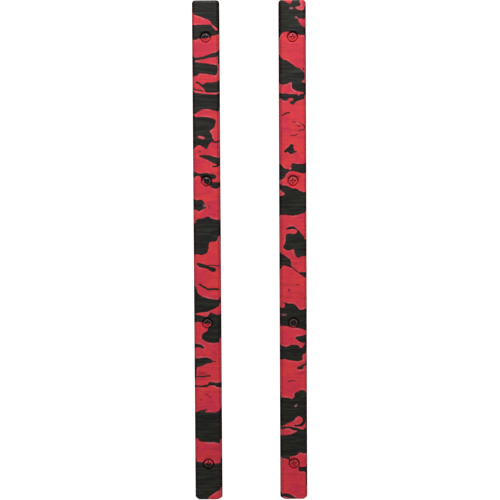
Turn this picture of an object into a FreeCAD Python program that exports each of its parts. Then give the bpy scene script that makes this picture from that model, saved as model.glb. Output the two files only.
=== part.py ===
import FreeCAD, Part
import Sketcher
import math
import os

# A pair of skateboard deck rails. Each rail is one moulded plastic strip with drafted sides, a cored
# underside and four sunk screws. +Z is out of the deck, +Y runs along the rails, and the origin is midway
# between the rails on the plane where they meet the deck, so the screw threads stand below it.
# Every length is in millimetres and every angle in degrees.

DIMENSIONS = {
    "railLength": 362.0,
    "railWidth": 20.0,
    "railHeight": 9.5,
    "draftAngle": 9.0,
    "planRadius": 2.4,
    "edgeRadius": 1.0,
    "footRadius": 0.4,
    "pairSpacing": 62.1,
    "screwPitch": 102.4,
    "boreRadius": 4.1,
    "seatHeight": 6.4,
    "clearRadius": 1.8,
    "boreChamfer": 0.25,
    "coreWall": 3.0,
    "coreDepth": 4.8,
    "coreRadius": 1.2,
    "ribWidth": 2.5,
    "bossLength": 14.0,
    "headRadius": 3.1,
    "headHeight": 2.1,
    "rimHeight": 1.3,
    "neckRadius": 1.35,
    "threadRadius": 1.6,
    "screwLength": 12.7,
    "pointLength": 2.8,
    "pointRadius": 0.2,
    "wingReach": 2.2,
    "wingWidth": 1.15,
    "wingDepth": 1.2,
    "wingDraft": 8.0,
    "socketRadius": 1.15,
    "socketDepth": 1.6,
}

SCREWS = 4  # on each rail
CELLS = 3  # core pockets between two screw bosses
NEAR = 1e-6  # lengths and heights closer than this are the same

# How a sketch constraint names the sketch's origin, its vertical axis, and a curve's two ends and centre
ORIGIN = (-1, 1)
UPRIGHT_AXIS = -2
START, END, CENTRE = 1, 2, 3

doc = FreeCAD.newDocument("deck_rails")
sheet = doc.addObject("Spreadsheet::Sheet", "dims")


class Size:
    """A length that keeps its value together with the spreadsheet formula that gives it."""

    def __init__(self, value, formula):
        self.value = value
        self.formula = formula

    def joined(self, other, sign, value):
        return Size(value, f"({self.formula} {sign} {formulaOf(other)})")

    def __add__(self, other):
        return self.joined(other, "+", self.value + valueOf(other))

    def __sub__(self, other):
        return self.joined(other, "-", self.value - valueOf(other))

    def __mul__(self, other):
        return self.joined(other, "*", self.value * valueOf(other))

    def __truediv__(self, other):
        return self.joined(other, "/", self.value / valueOf(other))

    def __neg__(self):
        return Size(-self.value, f"(-{self.formula})")


def valueOf(number):
    return number.value if isinstance(number, Size) else number


def formulaOf(number):
    return number.formula if isinstance(number, Size) else str(number)


def dim(alias):
    return Size(DIMENSIONS[alias], f"{sheet.Name}.{alias}")


def fillSheet():
    for row, (alias, number) in enumerate(DIMENSIONS.items(), 1):
        sheet.set(f"A{row}", alias)
        sheet.set(f"B{row}", str(number))
        sheet.setAlias(f"B{row}", alias)
    doc.recompute()


def bind(feature, path, size):
    feature.setExpression(path, formulaOf(size))


# Sketch helpers

def originPlane(body, role):
    return next(datum for datum in body.Origin.OriginFeatures if datum.Role == role)


def sketchOn(body, name, role="XY_Plane", height=None):
    sketch = body.newObject("Sketcher::SketchObject", name)
    sketch.AttachmentSupport = [(originPlane(body, role), "")]
    sketch.MapMode = "FlatFace"
    if height is not None:
        bind(sketch, "AttachmentOffset.Base.z", height)
    return sketch


def constrain(sketch, kind, *items, size=None):
    """Adds one constraint, and drives it from the spreadsheet when a size is given."""
    numbers = [valueOf(size)] if size is not None else []
    index = sketch.addConstraint(Sketcher.Constraint(kind, *items, *numbers))
    if isinstance(size, Size):
        bind(sketch, f"Constraints[{index}]", size)


def outline(sketch, corners, domeMiddle=None):
    """Closes a loop through corners, each a pair of sizes. With domeMiddle, the last edge is an arc that
    passes about there, with its centre on the vertical axis."""
    points = [FreeCAD.Vector(valueOf(across), valueOf(up), 0) for across, up in corners]
    first = sketch.GeometryCount
    last = len(points) - 1
    starts = [START] * len(points)
    for i, start in enumerate(points):
        end = points[(i + 1) % len(points)]
        if i == last and domeMiddle:
            sketch.addGeometry(Part.Arc(start, domeMiddle, end))
            if (sketch.Geometry[first + i].StartPoint - start).Length > NEAR:
                starts[i] = END  # the sketch stores every arc counterclockwise
        else:
            sketch.addGeometry(Part.LineSegment(start, end))
    for i, (across, up) in enumerate(corners):
        before = (i - 1) % len(points)
        endBefore = START + END - starts[before]
        constrain(sketch, "Coincident", first + before, endBefore, first + i, starts[i])
        constrain(sketch, "DistanceX", *ORIGIN, first + i, starts[i], size=across)
        constrain(sketch, "DistanceY", *ORIGIN, first + i, starts[i], size=up)
    if domeMiddle:
        constrain(sketch, "PointOnObject", first + last, CENTRE, UPRIGHT_AXIS)


def rectangle(sketch, left, right, low, high):
    outline(sketch, [(left, low), (right, low), (right, high), (left, high)])


def circle(sketch, across, up, radius):
    centre = FreeCAD.Vector(valueOf(across), valueOf(up), 0)
    index = sketch.addGeometry(Part.Circle(centre, FreeCAD.Vector(0, 0, 1), valueOf(radius)))
    constrain(sketch, "DistanceX", *ORIGIN, index, CENTRE, size=across)
    constrain(sketch, "DistanceY", *ORIGIN, index, CENTRE, size=up)
    constrain(sketch, "Radius", index, size=radius)


# Feature helpers

def feature(body, kind, name, **settings):
    """Adds a PartDesign feature. A Size among the settings is bound to the spreadsheet."""
    made = body.newObject(f"PartDesign::{kind}", name)
    for setting, value in settings.items():
        if isinstance(value, Size):
            bind(made, setting, value)
        else:
            setattr(made, setting, value)
    doc.recompute()
    return made


def changed(body, made, grows):
    """Stops the build when a feature has left the solid as it was, or changed it the wrong way."""
    before = made.BaseFeature.Shape.Volume if made.BaseFeature else 0.0
    gain = made.Shape.Volume - before
    if (gain > 0) is not grows or abs(gain) < NEAR:
        raise RuntimeError(f"{body.Label}: {made.Name} changes the volume by {gain:.3f}")


def edgesWhere(shape, test):
    return [f"Edge{i}" for i, edge in enumerate(shape.Edges, 1) if test(edge)]


def edgeHeights(edge):
    box = edge.BoundBox
    return box.ZMin, box.ZMax


def placed(body, across, along, up):
    for axis, size in zip("xyz", (across, along, up)):
        bind(body, f"Placement.Base.{axis}", size)


# The rail

def railBlank(body):
    """The drafted strip, with rounded corners in plan and a rounded edge at the top and the foot."""
    sketch = sketchOn(body, f"{body.Name}_footprint")
    halfWidth = dim("railWidth") / 2
    halfLength = dim("railLength") / 2
    rectangle(sketch, -halfWidth, halfWidth, -halfLength, halfLength)
    pad = feature(body, "Pad", f"{body.Name}_strip", Profile=sketch, Length=dim("railHeight"),
                  TaperAngle=-dim("draftAngle"))
    changed(body, pad, grows=True)
    if pad.Shape.BoundBox.XLength > valueOf(dim("railWidth")) + NEAR:
        raise RuntimeError("the sides lean out instead of in")

    def isCorner(edge):
        low, high = edgeHeights(edge)
        return high - low > valueOf(dim("railHeight")) / 2

    corners = feature(body, "Fillet", f"{body.Name}_corners", Base=(pad, edgesWhere(pad.Shape, isCorner)),
                      Radius=dim("planRadius"))

    def isTop(edge):
        return edgeHeights(edge)[0] > valueOf(dim("railHeight")) - NEAR

    top = feature(body, "Fillet", f"{body.Name}_top_edge", Base=(corners, edgesWhere(corners.Shape, isTop)),
                  Radius=dim("edgeRadius"))

    def isFoot(edge):
        return edgeHeights(edge)[1] < NEAR

    foot = feature(body, "Fillet", f"{body.Name}_foot", Base=(top, edgesWhere(top.Shape, isFoot)),
                   Radius=dim("footRadius"))
    changed(body, foot, grows=False)


def railCores(body):
    """Pockets in the underside, with cross ribs between them and a solid boss around each screw."""
    side = dim("railWidth") / 2 - dim("coreWall")
    cell = (dim("screwPitch") - dim("bossLength") - dim("ribWidth") * (CELLS - 1)) / CELLS

    spans = sketchOn(body, f"{body.Name}_span_cores")
    for i in range(CELLS):
        low = dim("screwPitch") * (-(SCREWS - 1) / 2) + dim("bossLength") / 2 + (cell + dim("ribWidth")) * i
        rectangle(spans, -side, side, low, low + cell)
    pocket = feature(body, "Pocket", f"{body.Name}_span_pockets", Profile=spans, Length=dim("coreDepth"),
                     Reversed=True)
    changed(body, pocket, grows=False)
    row = feature(body, "LinearPattern", f"{body.Name}_span_row", Originals=[pocket],
                  Direction=(originPlane(body, "Y_Axis"), [""]), Occurrences=SCREWS - 1,
                  Length=dim("screwPitch") * (SCREWS - 2))
    body.Tip = row

    ends = sketchOn(body, f"{body.Name}_end_cores")
    outer = dim("railLength") / 2 - dim("coreWall")
    inner = dim("screwPitch") * ((SCREWS - 1) / 2) + dim("bossLength") / 2
    rectangle(ends, -side, side, inner, outer)
    rectangle(ends, -side, side, -outer, -inner)
    pocket = feature(body, "Pocket", f"{body.Name}_end_pockets", Profile=ends, Length=dim("coreDepth"),
                     Reversed=True)
    changed(body, pocket, grows=False)

    def isCoreCorner(edge):
        low, high = edgeHeights(edge)
        return low < NEAR and abs(high - valueOf(dim("coreDepth"))) < NEAR

    corners = edgesWhere(pocket.Shape, isCoreCorner)
    rounded = feature(body, "Fillet", f"{body.Name}_core_corners", Base=(pocket, corners),
                      Radius=dim("coreRadius"))
    changed(body, rounded, grows=True)


def railBores(body):
    """The sunk seats and clearance holes of the four screws."""
    centres = sketchOn(body, f"{body.Name}_first_screw", height=dim("railHeight"))
    circle(centres, 0.0, dim("screwPitch") * (-(SCREWS - 1) / 2), dim("clearRadius"))
    doc.recompute()
    hole = feature(body, "Hole", f"{body.Name}_seat", Profile=centres)
    hole.ThreadType = "None"
    hole.DepthType = "ThroughAll"
    hole.DrillPoint = "Flat"
    hole.HoleCutType = "Counterbore"
    hole.HoleCutCustomValues = True
    bind(hole, "Diameter", dim("clearRadius") * 2)
    bind(hole, "HoleCutDiameter", dim("boreRadius") * 2)
    bind(hole, "HoleCutDepth", dim("railHeight") - dim("seatHeight"))
    doc.recompute()
    changed(body, hole, grows=False)
    row = feature(body, "LinearPattern", f"{body.Name}_seat_row", Originals=[hole],
                  Direction=(originPlane(body, "Y_Axis"), [""]), Occurrences=SCREWS,
                  Length=dim("screwPitch") * (SCREWS - 1))
    body.Tip = row

    def isMouth(edge):
        low, high = edgeHeights(edge)
        atTop = low > valueOf(dim("railHeight")) - NEAR
        return atTop and isinstance(edge.Curve, Part.Circle) and len(edge.Vertexes) == 1

    mouths = edgesWhere(row.Shape, isMouth)
    if len(mouths) != SCREWS:
        raise RuntimeError(f"{len(mouths)} seats were cut instead of {SCREWS}")
    broken = feature(body, "Chamfer", f"{body.Name}_seat_edges", Base=(row, mouths), Size=dim("boreChamfer"))
    changed(body, broken, grows=False)


def rail(label, across):
    body = doc.addObject("PartDesign::Body", label)
    railBlank(body)
    railCores(body)
    railBores(body)
    placed(body, across, 0.0, 0.0)
    return body


# The screw: origin on the axis where the head bears on its seat

def screwBlank(body):
    """Pan head with a low crown, a plain neck, the thread's outside as a cylinder, and the point."""
    profile = sketchOn(body, f"{body.Name}_profile", role="XZ_Plane")
    head = dim("headRadius")
    top = dim("headHeight")
    rim = dim("rimHeight")
    seat = -dim("seatHeight")
    tip = -dim("screwLength")
    shoulder = tip + dim("pointLength")
    corners = [
        (0.0, top),
        (0.0, tip),
        (dim("pointRadius"), tip),
        (dim("threadRadius"), shoulder),
        (dim("threadRadius"), seat),
        (dim("neckRadius"), seat),
        (dim("neckRadius"), 0.0),
        (head, 0.0),
        (head, rim),
    ]
    rise = valueOf(top - rim)
    crownRadius = (valueOf(head) ** 2 + rise ** 2) / (2 * rise)
    middle = valueOf(head) / 2
    fall = crownRadius - math.sqrt(crownRadius ** 2 - middle ** 2)
    outline(profile, corners, domeMiddle=FreeCAD.Vector(middle, valueOf(top) - fall, 0))
    turned = feature(body, "Revolution", f"{body.Name}_turned", Profile=profile,
                     ReferenceAxis=(profile, ["V_Axis"]), Angle=360.0)
    changed(body, turned, grows=True)


def screwRecess(body):
    """The cross recess: four drafted wings round a conical socket."""
    wing = sketchOn(body, f"{body.Name}_wing", height=dim("headHeight"))
    halfWing = dim("wingWidth") / 2
    rectangle(wing, -halfWing, dim("wingReach"), -halfWing, halfWing)
    cut = feature(body, "Pocket", f"{body.Name}_wing_cut", Profile=wing, Length=dim("wingDepth"),
                  TaperAngle=-dim("wingDraft"))
    changed(body, cut, grows=False)
    wings = feature(body, "PolarPattern", f"{body.Name}_wings", Originals=[cut],
                    Axis=(originPlane(body, "Z_Axis"), [""]), Angle=360.0, Occurrences=4)
    body.Tip = wings

    socket = sketchOn(body, f"{body.Name}_socket", role="XZ_Plane")
    top = dim("headHeight")
    outline(socket, [(0.0, top), (0.0, top - dim("socketDepth")), (dim("socketRadius"), top)])
    cone = feature(body, "Groove", f"{body.Name}_socket_cut", Profile=socket,
                   ReferenceAxis=(socket, ["V_Axis"]), Angle=360.0)
    changed(body, cone, grows=False)


def screw(label, across, along):
    body = doc.addObject("PartDesign::Body", label)
    screwBlank(body)
    screwRecess(body)
    placed(body, across, along, dim("seatHeight"))
    return body


def checked(bodies):
    """Stops the build if any object failed to compute or any sub-part isn't one sound solid."""
    for item in doc.Objects:
        if {"Invalid", "Error"} & set(item.State):
            raise RuntimeError(f"{item.Name} is {item.State}")
    for body in bodies:
        shape = body.Shape
        if shape.isNull() or not shape.isValid() or len(shape.Solids) != 1:
            raise RuntimeError(f"{body.Label} isn't one sound solid")


def main():
    fillSheet()
    bodies = []
    for side, sign in (("left", -1), ("right", 1)):
        across = dim("pairSpacing") * (sign / 2)
        bodies.append(rail(f"rail_{side}", across))
        for i in range(SCREWS):
            along = dim("screwPitch") * ((SCREWS - 1) / 2 - i)
            bodies.append(screw(f"screw_{side}_{i + 1}", across, along))
    doc.recompute()
    checked(bodies)

    os.makedirs("parts", exist_ok=True)
    for body in bodies:
        body.Shape.exportStep(f"parts/{body.Label}.step")
        box = body.Shape.BoundBox
        print(f"{body.Label}: {body.Shape.Volume:.1f} mm3, x {box.XMin:.2f} to {box.XMax:.2f}, "
              f"y {box.YMin:.2f} to {box.YMax:.2f}, z {box.ZMin:.2f} to {box.ZMax:.2f}")


main()
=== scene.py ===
import bmesh
import bpy
import math
import numpy as np
from mathutils import Matrix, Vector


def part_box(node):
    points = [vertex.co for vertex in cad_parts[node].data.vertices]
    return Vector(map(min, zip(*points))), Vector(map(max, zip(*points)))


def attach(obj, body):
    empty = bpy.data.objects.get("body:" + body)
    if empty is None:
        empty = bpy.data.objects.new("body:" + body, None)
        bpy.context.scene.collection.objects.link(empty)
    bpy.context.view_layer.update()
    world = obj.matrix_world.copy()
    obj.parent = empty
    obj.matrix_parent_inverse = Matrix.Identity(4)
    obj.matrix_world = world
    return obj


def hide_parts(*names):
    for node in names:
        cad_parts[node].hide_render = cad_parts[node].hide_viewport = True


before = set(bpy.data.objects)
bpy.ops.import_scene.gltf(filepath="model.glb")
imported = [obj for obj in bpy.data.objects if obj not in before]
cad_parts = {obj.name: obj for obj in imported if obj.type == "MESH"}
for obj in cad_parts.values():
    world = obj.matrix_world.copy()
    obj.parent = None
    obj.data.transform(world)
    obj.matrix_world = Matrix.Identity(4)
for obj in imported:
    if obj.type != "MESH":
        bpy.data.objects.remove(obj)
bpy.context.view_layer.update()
scene = bpy.context.scene
mm = 0.001  # metres in a millimetre
tiny = 1e-9  # keeps a length that is divided by from being 0
sides = ("left", "right")

# The swirl of each rail. A patch is [colour, nearest screw, points], and a point is (mm across from the rail's
# middle line, mm along from that screw). Later patches lie on earlier ones, over red plastic. Points 18 mm
# across are down the side walls, past the foot. A thread is [colour, nearest screw, full width, points], for
# colour too thin for a patch. A smudge is [nearest screw, across, along, half size across, half size along,
# turn in degrees, strength], dark below 0 and pale above.
swirlOfLeft = {
    "stretch": [1.06, 0.986, 1.006, 1.016, 1.027],  # along, beyond each screw, so that the spans meet
    "ahead": (0.88, -0.0032),  # mm, and mm for each mm along, that the rail's drawing lies ahead of the heads'
    "patches": [
        ["black", 1, [(-18, 40), (18, 40), (18, 1.2), (9, 1), (7, .8), (4.6, .4), (2, -.3), (-1, -.8), (-4, -1.3),
         (-6, -2), (-8, -2.6), (-18, -2.6)]],
        ["red", 1, [(-18, 14.6), (-8, 14.5), (-5, 13.7), (-2, 12.7), (0, 11.9), (2, 11.3), (3.5, 10.3), (5, 8.2),
         (6.5, 6.8), (8, 5.6), (9.4, 4), (9.2, 3.3), (7.5, 4.2), (6, 5.5), (5, 6.8), (4, 7.9), (1, 8.1), (-3, 8),
         (-6, 8), (-8, 7.6), (-18, 7.3)]],
        ["black", 1, [(-18, -14.6), (-7, -15), (-4, -14.7), (-1, -14), (2, -13), (4, -12.2), (6, -11.6),
         (9, -11.2), (18, -11.3), (18, -20.5), (9.4, -20.6), (8.6, -21.5), (8.7, -24), (8.2, -26.5), (7.3, -27.8),
         (6, -28), (3, -27.4), (0, -26.9), (-3.6, -26.6), (-4.8, -27), (-5.6, -28.2), (-7, -28.4), (-18, -28.4)]],
        ["red", 1, [(-7.6, -17.7), (-5, -17), (-1, -16.2), (3, -15.3), (7, -14.8), (9.3, -14.9), (9.7, -17),
         (9.4, -20.8), (7, -20.3), (4, -19.8), (1, -19.3), (-2, -18.9), (-5, -18.7)]],
        ["black", 1, [(18, -33.2), (4, -33), (.2, -33.2), (-2, -34.5), (-3.2, -34), (-4.5, -33), (-6, -32.3),
         (-7.3, -32.6), (-7.2, -33.3), (-5.5, -34), (-4, -35.2), (-2, -37), (-1, -38.4), (0, -40), (3, -40.4),
         (6, -40.6), (18, -40.8)]],
        ["black", 1, [(-18, -39.8), (-6, -40.2), (0, -40.7), (18, -41.2), (18, -60), (-18, -60)]],
        ["red", 2, [(-18, 46.6), (-8.8, 47.2), (-7.5, 48.3), (-6, 49.3), (-4.5, 50.2), (-3, 51.1), (-1, 51.5),
         (2, 51.3), (5, 50.6), (7, 50), (8.5, 49.3), (18, 48.6), (18, 36), (-18, 36)]],
        ["black", 2, [(-18, 45.8), (-7, 45.8), (-3, 45.9), (1.5, 45.7), (3.5, 45.2), (5.5, 44.4), (6.8, 43.5),
         (7, 42.3), (6.6, 41), (6.2, 39), (5.5, 37.7), (4.2, 36.8), (2.8, 36.2), (2.4, 35.4), (3.4, 34.3),
         (4.1, 33), (4.3, 31.5), (4.9, 30.2), (5.6, 29.3), (5.3, 28.2), (3.8, 27.4), (2.4, 26.4), (1.4, 24.8),
         (.8, 22.9), (-.2, 22.6), (-1.5, 23.6), (-3, 24.4), (-4.2, 25.2), (-6.3, 25), (-7.3, 24), (-8.2, 23),
         (-18, 22.3)]],
        ["red", 2, [(-6, 31.9), (-4.5, 32.2), (-2.5, 31.6), (-1, 30.6), (-2, 29.9), (-4, 30.2), (-5.6, 30.9)]],
        ["black", 2, [(-5.3, 17.7), (-3, 18.2), (0, 18.3), (3, 17.9), (5, 17.2), (7, 16.6), (9, 15.6), (18, 16),
         (18, 10), (9.4, 9.9), (8, 9.4), (5.5, 9.2), (4, 9.9), (5, 10.5), (7.3, 10.8), (6.3, 11.7), (5, 12.3),
         (3, 13.3), (1, 14.5), (-1, 15.4), (-3, 16.3)]],
        ["black", 2, [(-18, 5.8), (-7.5, 5.7), (-5.5, 5), (-3, 5), (0, 5.3), (2, 4.9), (4, 4.5), (6, 3.9), (7, 3),
         (7, 1.3), (5.8, .6), (4.4, .5), (3.7, -.2), (4, -1.2), (6, -1.5), (7.5, -1.4), (9, -1.9), (18, -2),
         (18, -5.6), (9, -5.4), (8, -5.9), (6.8, -6.4), (5.6, -6.2), (4.5, -5.7), (3, -5.2), (2.6, -4),
         (1.5, -3.6), (0, -2.8), (-1.2, -1.2), (-2.3, .2), (-3.4, 1.2), (-4.2, 1.6), (-4.6, 2.6), (-5.6, 3.2),
         (-7, 3), (-8, 2.2), (-8.6, 1.4), (-18, 1)]],
        ["black", 2, [(-18, -14), (-7, -14.1), (-4, -14), (-2.7, -14.5), (-2, -15.6), (-1.3, -17.2), (-1.2, -18.5),
         (-.3, -19.6), (-1.2, -20.3), (-3, -21), (-4.5, -21.8), (-5.6, -22.2), (-6.6, -21.8), (-8, -21.2),
         (-18, -20.6)]],
        ["black", 2, [(-8.2, -29.8), (-7.6, -28.5), (-6, -27.7), (-3, -27.2), (-1, -26.6), (.4, -26), (1.6, -26.2),
         (2.6, -26.9), (4, -27.6), (6, -28.1), (9, -28.5), (18, -28.5), (18, -40), (9, -40), (8.2, -41),
         (7.4, -43), (6, -43.9), (3.5, -44), (2.2, -44.5), (1.5, -45.6), (1.3, -47), (1.5, -48.4), (.8, -49.8),
         (.6, -51.2), (-.3, -52.4), (-1.5, -52.9), (-4.5, -53.6), (-7, -53), (-18, -52.9), (-18, -31.6),
         (-9, -31.4)]],
        ["black", 3, [(-7.5, 41.8), (-7, 42.6), (-5.8, 42.8), (-4, 42.1), (-1.5, 41.3), (.5, 40.7), (2, 39.9),
         (4.5, 39.4), (6, 38.7), (6.6, 37.6), (6.2, 36.4), (5, 36), (3.6, 36.1), (2.2, 36.9), (.5, 38), (-2, 39),
         (-4, 39.1), (-5.6, 39.7), (-6.6, 40.8)]],
        ["black", 3, [(-18, 26.2), (-9, 25.8), (-8, 24.8), (-7.3, 23), (-6.8, 21.4), (-6, 20), (-4.5, 19),
         (-2.5, 18), (0, 17.2), (2.5, 16.7), (5, 16.2), (7, 16.1), (8.6, 16.6), (10, 17.6), (18, 17.8), (18, 13.8),
         (9.8, 13.4), (9, 12.1), (8, 11.2), (6.5, 10.2), (5, 9.4), (3, 8.6), (1, 7.7), (-1, 7.1), (-4, 6.9),
         (-18, 6.8)]],
        ["black", 3, [(-18, 5.6), (-7.5, 5.2), (-5, 4.8), (-3, 4.2), (-1.2, 4), (.3, 4.2), (1.1, 5.2), (1.7, 6.8),
         (3, 6.7), (5, 5.9), (7.3, 5.2), (8.8, 5.5), (10, 5.6), (18, 5.4), (18, -11), (9.6, -11.4), (9, -13),
         (8.3, -14.3), (7, -14.9), (5, -15.1), (2, -14.9), (-.5, -14.3), (-2.3, -13.4), (-3.7, -12.4),
         (-4.3, -11.2), (-4.2, -9.8), (-3.6, -8.6), (-2.2, -7.6), (-.8, -6.8), (.1, -5.6), (.3, -4.2), (1.4, -3.4),
         (2.7, -2.4), (2.9, -1.2), (1.6, -.5), (-1, -.4), (-4, -.3), (-6, 0), (-8, -.1), (-18, .1)]],
        ["black", 3, [(-18, -15.6), (-7, -15.7), (-5, -16.1), (-3.4, -17), (-2.4, -18.2), (-2.5, -19.1), (-4, -19),
         (-6, -18.4), (-18, -17.8)]],
        ["black", 3, [(-18, -25.6), (-8, -25.8), (-5, -25.7), (-2, -25.4), (0, -25.7), (1.5, -26.2), (2.8, -27.1),
         (4, -28.2), (3.4, -29), (2, -29.4), (0, -29.7), (-1.5, -30.3), (-3, -31.1), (-5, -31.7), (-7.2, -32.2),
         (-8.1, -33.4), (-8.5, -36), (-8.3, -38.6), (-8.3, -39.8), (-18, -40.2)]],
        ["black", 3, [(.2, -43.6), (1.5, -43), (4, -43.1), (6, -43.5), (8.7, -43), (18, -43), (18, -46.8),
         (9, -46.6), (7.5, -46.9), (6, -46.5), (5.2, -45.7), (3, -45.5), (1, -45.6), (-.5, -46.4), (-2.5, -46.8),
         (-4.5, -46.9), (-7, -46.6), (-18, -46.1), (-18, -44.6), (-8, -45.1), (-6, -45.6), (-4, -45.5), (-2, -45),
         (0, -44.7)]],
        ["black", 4, [(-18, 36.3), (-8, 36.7), (-6, 37.3), (-4, 37.6), (-2, 38.1), (0, 38.4), (-.6, 37.8),
         (-2, 37), (-2.2, 36.4), (0, 36.1), (3, 36), (6, 36.1), (7.2, 36.8), (8.4, 37.9), (10, 39), (18, 39.4),
         (18, 17.5), (9.6, 17), (8.8, 14.6), (8.2, 13.8), (5.5, 14.1), (3.5, 14.4), (1.5, 14.2), (-1, 14.4),
         (-4, 14.6), (-5.6, 15), (-6.6, 15.8), (-7.6, 16.9), (-8.7, 17.8), (-18, 18.4)]],
        ["black", 4, [(-18, 3), (-9.3, 2.6), (-8.6, 1.2), (-7, .4), (-5, .2), (-2, 0), (1, -.1), (3.5, -.6),
         (5.5, -.9), (7.5, -.7), (8.8, .2), (9.6, 2.4), (18, 3), (18, -16.5), (9.6, -17.2), (8.7, -19.3),
         (7, -20.7), (5, -21.7), (3, -23), (1.2, -24.3), (-.2, -26), (-.4, -40), (-18, -40)]],
    ],
    "threads": [
        ["black", 1, .85, [(-18, -37.9), (-9.5, -38), (-5, -38.6), (-1, -39.4)]],
        ["red", 1, 1.1, [(-18, -39.5), (-6, -40), (-3, -40.5), (0, -40.8), (3, -41), (18, -41.3)]],
        ["black", 2, 1.3, [(4.6, 27.6), (8, 27.6), (18, 27.6)]],
        ["black", 3, .75, [(0, 40.7), (3, 40.8), (6.5, 40.5), (8.3, 40.1), (10, 40.8), (18, 41.2)]],
        ["black", 3, 1.5, [(-6.6, 27.4), (-5, 26.9), (-3.5, 25.8), (-1.5, 24.7), (.5, 23.6), (2.5, 23.6),
         (5, 23.7), (8, 23.5), (9.6, 23.8)]],
        ["black", 3, 1.1, [(-8.6, -39.2), (-6, -38.9), (-4, -39.2), (-1, -38.7), (1, -38.6), (2.6, -38.8)]],
        ["black", 3, .75, [(3.5, -28.3), (5, -28.5), (6.4, -28.5)]],
    ],
    "smudges": [
        [2, -4.8, 20.8, 1.3, .5, 0, -.9], [2, -8.9, 14.5, .9, .8, 0, -.9], [2, -8.9, 11.5, .7, .9, 0, -.4],
        [2, 1.6, -18.8, 1.9, .5, -35, -.6], [2, -1.9, -18.3, 1, .4, -50, .7], [2, 2.3, -24.2, 1, .5, 0, -.4],
        [2, 5.8, -24.6, 1, .6, 0, -.4], [3, -8.9, 29.5, .7, 1, 0, -.4], [3, -1.8, 28.8, 1.3, .4, 0, -.35],
        [3, -1.2, 36.3, .9, .4, 0, -.3], [3, 4.5, -21.6, .9, .5, 0, -.6], [3, 5.8, -23.2, .8, .5, 0, -.5],
        [3, -2.3, -24.2, .7, .6, 0, -.5], [3, -4, -36.8, 3.8, 1, 0, -.55], [4, -.8, 48.8, 1.4, .5, -15, -.9],
        [4, 1.5, 47, 1, .6, -40, -.75], [4, -5, 45, .9, .6, 0, -.85], [4, 2.4, 43.2, 1.6, .4, 0, -.25],
    ],
}
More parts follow.
